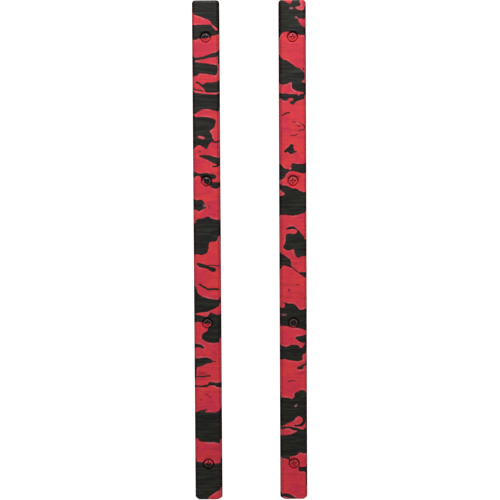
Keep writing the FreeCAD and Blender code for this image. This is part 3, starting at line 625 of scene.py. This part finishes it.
def makeRail(side, screwsY, centreX):
    r = railShape
    block, margin = r["holeBlock"], r["coreMargin"]
    cores, inner, outer = pocketSpans(screwsY)
    stops = {edge for low, high in cores[:-2] for edge in (low - margin, high + margin)}
    stops |= {screwY + off for screwY in screwsY for off in (-block, block)} | {margin - inner, inner - margin}
    middleLines = linesBetween(sorted({round(stop, 6) for stop in stops}))

    endCells = round((r["flatTop"][1] - inner + margin) / r["cell"])
    topEnd = np.linspace(inner - margin, r["flatTop"][1], endCells + 1)[1:]
    footEnd = np.concatenate([np.linspace(inner - margin, outer + margin, endCells - 1)[1:],
                              np.linspace(outer + margin, r["flatFoot"][1], 3)[1:]])
    topY = [-y for y in topEnd[::-1]] + middleLines + list(topEnd)
    footY = [-y for y in footEnd[::-1]] + middleLines + list(footEnd)
    holeX = linesBetween([-block, block])
    topX = [-r["flatTop"][0], -r["flatTopLine"]] + holeX + [r["flatTopLine"], r["flatTop"][0]]
    coreX = [-r["coreHalfWidth"] - margin] + holeX + [r["coreHalfWidth"] + margin]
    footX = [-r["flatFoot"][0]] + coreX + [r["flatFoot"][0]]

    store = newStore()
    holes = [(block, screwY - block, screwY + block) for screwY in screwsY]
    coreBlocks = [(r["coreHalfWidth"] + margin, low - margin, high + margin) for low, high in cores]
    flatGrid(store, topX, topY, r["height"], 0, holes)
    flatGrid(store, footX, footY, 0.0, 1, holes + coreBlocks)
    addOutside(store, topX, topY, footX, footY)
    for screwY in screwsY:
        addScrewHole(store, loopOf(holeX, linesIn(middleLines, screwY - block, screwY + block)), screwY)
    for low, high in cores:
        addPocket(store, low, high, coreX, footY)

    return finishedPiece(f"marbled_rail_{side}", store, side, screwsY, centreX, r["sharpAngle"],
                         swirlOf[side]["ahead"])


# The screw, in mm from the middle of its head's underside
screwShape = {
    "headRadius": 3.1,
    "headTop": 2.1,
    "rimHeight": 1.3,
    "wingReach": 2.2,  # of the cross
    "wingHalf": 0.575,
    "wingFloor": 0.9,
    "wingDraft": 8.0,  # degrees
    "socketRadius": 1.15,
    "socketDepth": 1.6,
    "threadStart": -4.2,
    "neckRadius": 1.35,
    "coreRadius": 1.12,
    "crestRadius": 1.6,
    "threadPitch": 1.27,  # 20 to the inch
    "ridgePower": 2.5,  # how narrow the crests are
    "threadRows": 54,
    "runOutRows": 8,  # over which the thread runs out into the neck
    "pointTop": -9.9,
    "tip": -12.7,
    "tipRadius": 0.02,
    "crownRings": (.12, .25, .4, .55, .7, .85, 1.0, 1.15, 1.3, 1.5, 1.7, 1.9, 2.03, 2.08, 2.13, 2.2, 2.26, 2.4,
                   2.6, 2.8),  # radii, closer where the cross's wings end
    # (radius, height) from the crown's rim round the head and down the neck
    "sideProfile": [(2.93, 1.34), (3.04, 1.22), (3.1, 1.02), (3.1, .6), (3.1, .14), (3.05, .03), (2.95, 0),
                    (2.2, 0), (1.5, 0), (1.37, -.08), (1.35, -.3), (1.35, -1.5), (1.35, -2.8), (1.35, -3.9)],
    "crownHighlightStrength": 0.7,  # how much a painted highlight lightens the crown
    "highlightRadius": 2.6,  # radius at which the painted highlight is brightest
    "highlightWidth": 0.45,
    "recessShadeDepth": 0.12,  # mm into the cross at which the painted shade is darkest
    "recessShadeReach": 2.3,
    "recessShadeHub": 0.2,  # mm round the middle where the painted shade is lighter
    "turns": {"left": (2, 38, 5, 2), "right": (-3, 1, -4, 14)},  # of the cross in each head, degrees
    "sharpAngle": 32,
}


def headAngles(radius):
    # Angles that follow the wings' edges near the recess and even out towards the rim
    s = screwShape
    narrow = s["wingHalf"] - (s["headTop"] - s["wingFloor"]) * math.tan(math.radians(s["wingDraft"]))
    eighth = math.pi / 4
    floorEdge = min(math.asin(min(1, narrow / radius)), eighth * 0.8)
    rimEdge = max(min(math.asin(min(1, s["wingHalf"] / radius)), eighth * 0.9), floorEdge + 0.01)
    near = min(rimEdge + 0.07 / radius, eighth * 0.95)
    followed = np.array([0, floorEdge / 2, floorEdge, rimEdge]
                        + [near + (eighth - near) * share for share in (0, 0.25, 0.5, 0.75)])
    even = np.arange(8) / 8 * eighth
    spread = np.clip((radius - 2.3) / 0.6, 0, 1)
    half = followed * (1 - spread) + even * spread
    quarter = np.concatenate([half, [eighth], 2 * eighth - half[:0:-1]])
    return np.concatenate([quarter + 2 * eighth * i for i in range(4)])


def crownHeight(radius):
    s = screwShape
    rise = s["headTop"] - s["rimHeight"]
    sphere = (s["headRadius"] ** 2 + rise**2) / (2 * rise)
    return s["headTop"] - (sphere - np.sqrt(sphere**2 - radius**2))


def headHeight(radius, angles):
    # The crown, with the cross cut into it
    s = screwShape
    steep = math.tan(math.radians(s["wingDraft"]))
    folded = np.abs((angles + math.pi / 4) % (math.pi / 2) - math.pi / 4)
    across, along = radius * np.sin(folded), radius * np.cos(folded)
    wall = s["headTop"] - np.maximum(0, s["wingHalf"] - across) / steep
    end = s["headTop"] - np.maximum(0, s["wingReach"] - along) / steep
    wing = np.maximum(np.maximum(wall, end), s["wingFloor"])
    socket = s["headTop"] - s["socketDepth"] * max(0, 1 - radius / s["socketRadius"])
    return np.minimum(crownHeight(radius), np.minimum(wing, socket))


def around(radius, angles, height):
    return raised(np.column_stack([radius * np.cos(angles), radius * np.sin(angles)]), height)


def makeScrew(side, number, screwsY, centreX, seat):
    s = screwShape
    rings = []
    for radius in s["crownRings"]:
        angles = headAngles(radius)
        rings.append(around(radius, angles, headHeight(radius, angles)))
    angles = headAngles(s["headRadius"])
    rings.insert(0, around(0, angles, s["headTop"] - s["socketDepth"]))
    rings += [around(radius, angles, height) for radius, height in s["sideProfile"]]
    for i in range(s["threadRows"] + 1):
        height = s["threadStart"] + (s["tip"] - s["threadStart"]) * i / s["threadRows"]
        phase = angles - 2 * math.pi * height / s["threadPitch"]
        ridge = np.maximum(0, np.cos(phase)) ** s["ridgePower"]
        grown = min(1, i / s["runOutRows"])
        narrowing = min(1, (height - s["tip"]) / (s["pointTop"] - s["tip"]))
        core = (s["neckRadius"] * (1 - grown) + s["coreRadius"] * grown) * narrowing**0.8 + s["tipRadius"]
        crest = (s["crestRadius"] - s["coreRadius"] - s["tipRadius"]) * grown * narrowing
        rings.append(around(core + crest * ridge, angles, height))
    rings.append(around(0, angles, s["tip"]))
    rings = np.array(rings)

    radius, height = np.linalg.norm(rings[:, :, :2], axis=2), rings[:, :, 2]
    # Painted shade in the cross: darker the deeper the surface lies below the crown, lighter round the middle
    depth = crownHeight(np.minimum(radius, 3)) - height
    inCross = (radius < s["recessShadeReach"]) * np.clip(radius - s["recessShadeHub"], s["recessShadeHub"], 1)
    recessShade = np.clip(depth / s["recessShadeDepth"], 0, 1) * inCross
    # A painted highlight ring round the crown, near its rim
    crownHighlight = np.clip(1 - np.abs(radius - s["highlightRadius"]) / s["highlightWidth"], 0, 1) * (height > s["rimHeight"])
    turn = math.radians(s["turns"][side][number - 1])
    spin = [[math.cos(turn), math.sin(turn)], [-math.sin(turn), math.cos(turn)]]
    rings[:, :, :2] = rings[:, :, :2] @ spin
    rings += (0, screwsY[number - 1], seat)
    store = newStore()
    # painted highlight on the crown, less painted shade in the cross
    addPatch(store, rings, paintedShading=s["crownHighlightStrength"] * crownHighlight - recessShade)
    screw = finishedPiece(f"cross_screw_{side}_{number}", store, side, screwsY, centreX, s["sharpAngle"])
    screw.data.materials.append(lacqueredSteel)
    screw.data.materials.append(zincPlatedSteel)
    for face in screw.data.polygons:
        face.material_index = 1 if face.center.z / mm < seat - 0.02 else 0  # the head is lacquered
    return screw


# Materials

def colour(hexText):
    # sRGB hex to linear
    channels = [int(hexText[i:i + 2], 16) / 255 for i in (1, 3, 5)]
    return [c / 12.92 if c <= 0.04045 else ((c + 0.055) / 1.055) ** 2.4 for c in channels] + [1.0]


def setSockets(tree, node, sockets):
    for key, value in sockets.items():
        if isinstance(value, bpy.types.NodeSocket):
            tree.links.new(value, node.inputs[key])
        else:
            node.inputs[key].default_value = value


def addNode(tree, kind, sockets=None, out=0, **settings):
    # Gives the node's output, for the next node to take
    node = tree.nodes.new("ShaderNode" + kind)
    for name, value in settings.items():
        setattr(node, name, value)
    setSockets(tree, node, sockets or {})
    return node.outputs[out]


def newMaterial(name):
    material = bpy.data.materials.new(name)
    material.use_nodes = True
    tree = material.node_tree
    return material, tree, tree.nodes["Principled BSDF"]


mixFirst, mixSecond, mixOut = 6, 7, 2  # a colour Mix node's sockets
swirlLook = {
    "crimson": "#ca2c46",
    "scarlet": "#d8373c",
    "redDeep": "#9a2230",
    "pink": "#e08a92",
    "black": "#11110d",
    "blackPale": "#32322c",
    "darkRed": "#4a1418",
    "paintedShadeTint": "#c8304e",  # painted shade: multiplies the colour in the screws' crosses and along the rail's rounded edge and wall
    "paintedHighlightTint": "#8a5458",  # painted highlight: screened over the colour on the screws' crowns and a line along the rail's edge
    "ragged": 0.55,  # mm that a boundary wanders, to either side
    "soft": 0.16,  # mm over which one colour turns to the other
}
# The swirl's textures: (mm across the rail, mm along it, detail, roughness, distortion)
swirlGrain = {
    "wander": (1.7, 1.7, 3, 0.6, 0),  # raggedness of a boundary
    "mottle": (9, 9, 4, 0.55, 0),  # patches of the pale fringe
    "bands": (26, 3.2, 5, 0.6, 0.4),  # the red's bands across the rail
    "drift": (15, 15, 4, 0.6, 0.8),  # from one red to the other
    "streaks": (14, 0.9, 3, 0.65, 0.3),  # fine drag marks, drawn coarser than the real ones so they show
}
# Layers on the red: (texture, its value where the layer starts, where it is full, most of it, colour)
redLayers = (("drift", 0.38, 0.62, 1, "scarlet"), ("bands", 0.5, 0.78, 0.6, "redDeep"),
             ("streaks", 0.5, 0.72, 0.55, "redDeep"))
# Layers on both colours: (stored value, its value where the layer is full, most of it, colour, blend). The smudges
# are the plastic's own tone; the last two are painted shade and a painted highlight.
smudgeAndShadingLayers = (("smudge", -1, 0.92, "darkRed", "MIX"), ("smudge", 1, 0.8, "pink", "MIX"),
              ("paintedShading", -1, 1, "paintedShadeTint", "MULTIPLY"), ("paintedShading", 1, 1, "paintedHighlightTint", "SCREEN"))


def swirlColour(tree):
    # The colour of red and black plastic that met while molten: ragged borders, bands, pale fringes and smudges,
    # with painted shade in hollows and painted highlights on edges laid on top
    look = swirlLook
    place = addNode(tree, "TexCoord", out="Object")
    stored = {name: addNode(tree, "Attribute", out="Fac", attribute_name=name)
              for name in ("swirlField", "threadSide", "threadHalf", "threadBlack", "smudge", "paintedShading")}
    grain = {}
    for name, (across, along, detail, roughness, distortion) in swirlGrain.items():
        sizes = [1 / mm / size for size in (across, along, across)]
        laid = addNode(tree, "Mapping", {"Vector": place, "Scale": sizes})
        grain[name] = addNode(tree, "TexNoise", {"Vector": laid, "Scale": 1, "Detail": detail,
                                                 "Roughness": roughness, "Distortion": distortion})

    shift = addNode(tree, "MapRange", {"Value": grain["wander"], "From Min": 0.25, "From Max": 0.75,
                                       "To Min": -look["ragged"] / 2, "To Max": look["ragged"] / 2})
    edge = addNode(tree, "Math", {0: stored["swirlField"], 1: shift}, operation="ADD")
    away = addNode(tree, "Math", {0: stored["threadSide"]}, operation="ABSOLUTE")
    within = addNode(tree, "Math", {0: stored["threadHalf"], 1: away}, operation="SUBTRACT")
    isBlack, onThread = [
        addNode(tree, "MapRange", {"Value": inside, "From Min": -look["soft"], "From Max": look["soft"]},
                interpolation_type="SMOOTHSTEP") for inside in (edge, within)]
    isBlack = addNode(tree, "Mix", {0: onThread, 2: isBlack, 3: stored["threadBlack"]}, data_type="FLOAT")

    red = colour(look["crimson"])
    for name, low, high, most, tone in redLayers:
        share = addNode(tree, "MapRange", {"Value": grain[name], "From Min": low, "From Max": high, "To Max": most})
        red = addNode(tree, "Mix", {0: share, mixFirst: red, mixSecond: colour(look[tone])}, mixOut,
                      data_type="RGBA")

    # A pale, thinly pigmented fringe on the red side of a border
    rise = addNode(tree, "MapRange", {"Value": edge, "From Min": -1.5, "From Max": -0.5},
                   interpolation_type="SMOOTHSTEP")
    patchy = addNode(tree, "MapRange", {"Value": grain["mottle"], "From Min": 0.45, "From Max": 0.65,
                                        "To Max": 0.32})
    fringe = addNode(tree, "Math", {0: rise, 1: patchy}, operation="MULTIPLY")
    wisps = addNode(tree, "MapRange", {"Value": grain["streaks"], "From Min": 0.45, "From Max": 0.72})
    red, grey = [addNode(tree, "Mix", {0: share, mixFirst: first, mixSecond: colour(look[tone])}, mixOut,
                         data_type="RGBA")
                 for share, first, tone in ((fringe, red, "pink"), (wisps, colour(look["black"]), "blackPale"))]
    both = addNode(tree, "Mix", {0: isBlack, mixFirst: red, mixSecond: grey}, mixOut, data_type="RGBA")
    # Smudges of the plastic's own tone, then painted shade and painted highlights
    for name, full, most, tone, blend in smudgeAndShadingLayers:
        share = addNode(tree, "MapRange", {"Value": stored[name], "From Max": full, "To Max": most})
        both = addNode(tree, "Mix", {0: share, mixFirst: both, mixSecond: colour(look[tone])}, mixOut,
                       data_type="RGBA", blend_type=blend)
    return both, place, grain["bands"]


def moulded():
    # High-density polyethylene, injection moulded in two colours: satin, a little waxy, with faint flow
    # bands and a fine spark-eroded grain that keeps reflections soft
    material, tree, plastic = newMaterial("mouldedPolyethylene")
    both, place, bands = swirlColour(tree)
    grain = addNode(tree, "TexNoise", {"Vector": place, "Scale": 1 / mm / 0.5, "Detail": 3})
    rough = addNode(tree, "MapRange", {"Value": bands, "From Min": 0.3, "From Max": 0.7, "To Min": 0.42,
                                       "To Max": 0.54})
    flow = addNode(tree, "Bump", {"Height": bands, "Strength": 0.25, "Distance": 0.06 * mm})
    skin = addNode(tree, "Bump", {"Height": grain, "Strength": 0.35, "Distance": 0.03 * mm, "Normal": flow})
    setSockets(tree, plastic, {"Base Color": both, "IOR": 1.52, "Specular IOR Level": 0.22, "Roughness": rough,
                               "Normal": skin})
    return material


def lacquered():
    # Steel head under a baked lacquer in the rail's two colours: smoother and glossier than the plastic
    material, tree, paint = newMaterial("bakedLacquer")
    both, place, _ = swirlColour(tree)
    peel = addNode(tree, "TexNoise", {"Vector": place, "Scale": 1 / mm / 0.7, "Detail": 2})
    rough = addNode(tree, "MapRange", {"Value": peel, "To Min": 0.36, "To Max": 0.5})
    skin = addNode(tree, "Bump", {"Height": peel, "Strength": 0.3, "Distance": 0.03 * mm})
    setSockets(tree, paint, {"Base Color": both, "IOR": 1.5, "Specular IOR Level": 0.3, "Coat Weight": 0.15,
                             "Coat Roughness": 0.25, "Roughness": rough, "Normal": skin})
    return material


def zincPlated():
    # Rolled steel thread with bright zinc plating: cool grey, slightly cloudy, fine rolling marks
    material, tree, metal = newMaterial("zincPlatedSteel")
    place = addNode(tree, "TexCoord", out="Object")
    cloud = addNode(tree, "TexNoise", {"Vector": place, "Scale": 1 / mm / 1.5, "Detail": 4})
    tint = addNode(tree, "Mix", {0: cloud, mixFirst: colour("#b9bcc0"), mixSecond: colour("#d2d1c8")},
                   mixOut, data_type="RGBA")
    rough = addNode(tree, "MapRange", {"Value": cloud, "To Min": 0.24, "To Max": 0.42})
    rolled = addNode(tree, "TexNoise", {"Vector": place, "Scale": 1 / mm / 0.25, "Detail": 2})
    skin = addNode(tree, "Bump", {"Height": rolled, "Strength": 0.3, "Distance": 0.02 * mm})
    setSockets(tree, metal, {"Base Color": tint, "Metallic": 1.0, "Roughness": rough, "Normal": skin})
    return material


mouldedPlastic = moulded()
lacqueredSteel = lacquered()
zincPlatedSteel = zincPlated()
print("materials made")

for side in sides:
    railLow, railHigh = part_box(f"rail_{side}")
    centreX = (railLow.x + railHigh.x) / 2 / mm
    screwBoxes = [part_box(f"screw_{side}_{number}") for number in range(1, 5)]
    screwsY = [round((low.y + high.y) / 2 / mm, 3) for low, high in screwBoxes]
    rail = makeRail(side, screwsY, centreX)
    rail.data.materials.append(mouldedPlastic)
    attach(rail, f"rail_{side}")
    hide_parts(f"rail_{side}")
    print(f"rail {side}: {len(rail.data.polygons)} faces")
    for number, (low, high) in enumerate(screwBoxes, 1):
        seat = high.z / mm - screwShape["headTop"]
        screw = makeScrew(side, number, screwsY, centreX, seat)
        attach(screw, f"screw_{side}_{number}")
        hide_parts(f"screw_{side}_{number}")
    print(f"screws {side} made")

# Studio
studio = {
    "tableHeight": -6.4,  # mm, where the screw points rest
    "tableHalf": 3.0,  # m
    "tableColour": "#8c8c8c",
    "tableCloud": "#969696",
    "tableGlow": 1.0,
    "keyPlace": (0.0, 0.95, 0.8),  # m
    "keySize": 0.5,  # m
    "keyPower": 15.6,  # W
    "skyColour": "#ffffff",
    "skyStrength": 0.36,
    "cameraDistance": 0.95,  # m to the middle of the pair
    "cameraTilt": 3.0,  # degrees from straight above, towards the far end
    "cameraRoll": -0.31,
    "cameraAside": 0.17,  # mm
    "cameraLift": 1.1,  # mm, towards the far end, which centres the pair
    "lens": 94.25,  # mm
    "sensor": 36,  # mm
}


def makeTable():
    half, height = studio["tableHalf"], studio["tableHeight"] * mm
    mesh = bpy.data.meshes.new("light_table")
    corners = [(-half, -half, height), (half, -half, height), (half, half, height), (-half, half, height)]
    mesh.from_pydata(corners, [], [(0, 1, 2, 3)])
    table = bpy.data.objects.new("light_table", mesh)
    scene.collection.objects.link(table)
    material, tree, acrylic = newMaterial("opalAcrylic")  # lit from behind, so that nothing shades it
    cloud = addNode(tree, "TexNoise", {"Scale": 40, "Detail": 2})
    tint = addNode(tree, "Mix", {0: cloud, mixFirst: colour(studio["tableColour"]),
                                 mixSecond: colour(studio["tableCloud"])}, mixOut, data_type="RGBA")
    setSockets(tree, acrylic, {"Base Color": tint, "Roughness": 0.9, "Emission Color": (1, 1, 1, 1),
                               "Emission Strength": studio["tableGlow"]})
    mesh.materials.append(material)
    table.visible_glossy = False  # its glare is kept off the rails' steep sides


def makeLight():
    lamp = bpy.data.lights.new("softbox", "AREA")
    lamp.energy = studio["keyPower"]
    lamp.size = studio["keySize"]
    light = bpy.data.objects.new("softbox", lamp)
    light.location = studio["keyPlace"]
    light.rotation_euler = (-math.atan2(studio["keyPlace"][1], studio["keyPlace"][2]), 0, 0)
    scene.collection.objects.link(light)
    world = bpy.data.worlds.new("studioAir")
    world.use_nodes = True
    tree = world.node_tree
    up = addNode(tree, "SeparateXYZ", {0: addNode(tree, "TexCoord", out="Generated")}, "Z")
    level = addNode(tree, "MapRange", {"Value": up, "From Min": -0.2, "From Max": 0.5, "To Min": 0.0,
                                       "To Max": studio["skyStrength"]})
    setSockets(tree, tree.nodes["Background"], {"Color": colour(studio["skyColour"]), "Strength": level})
    scene.world = world


def makeCamera():
    view = bpy.data.cameras.new("camera")
    view.lens = studio["lens"]
    view.sensor_width = studio["sensor"]
    camera = bpy.data.objects.new("camera", view)
    tilt, distance = math.radians(studio["cameraTilt"]), studio["cameraDistance"]
    camera.location = (studio["cameraAside"] * mm, distance * math.sin(tilt) + studio["cameraLift"] * mm,
                       distance * math.cos(tilt))
    camera.rotation_mode = "YXZ"
    camera.rotation_euler = (-tilt, 0, math.radians(studio["cameraRoll"]))
    scene.collection.objects.link(camera)
    scene.camera = camera


makeTable()
makeLight()
makeCamera()
scene.view_settings.view_transform = "Standard"
print("studio made")
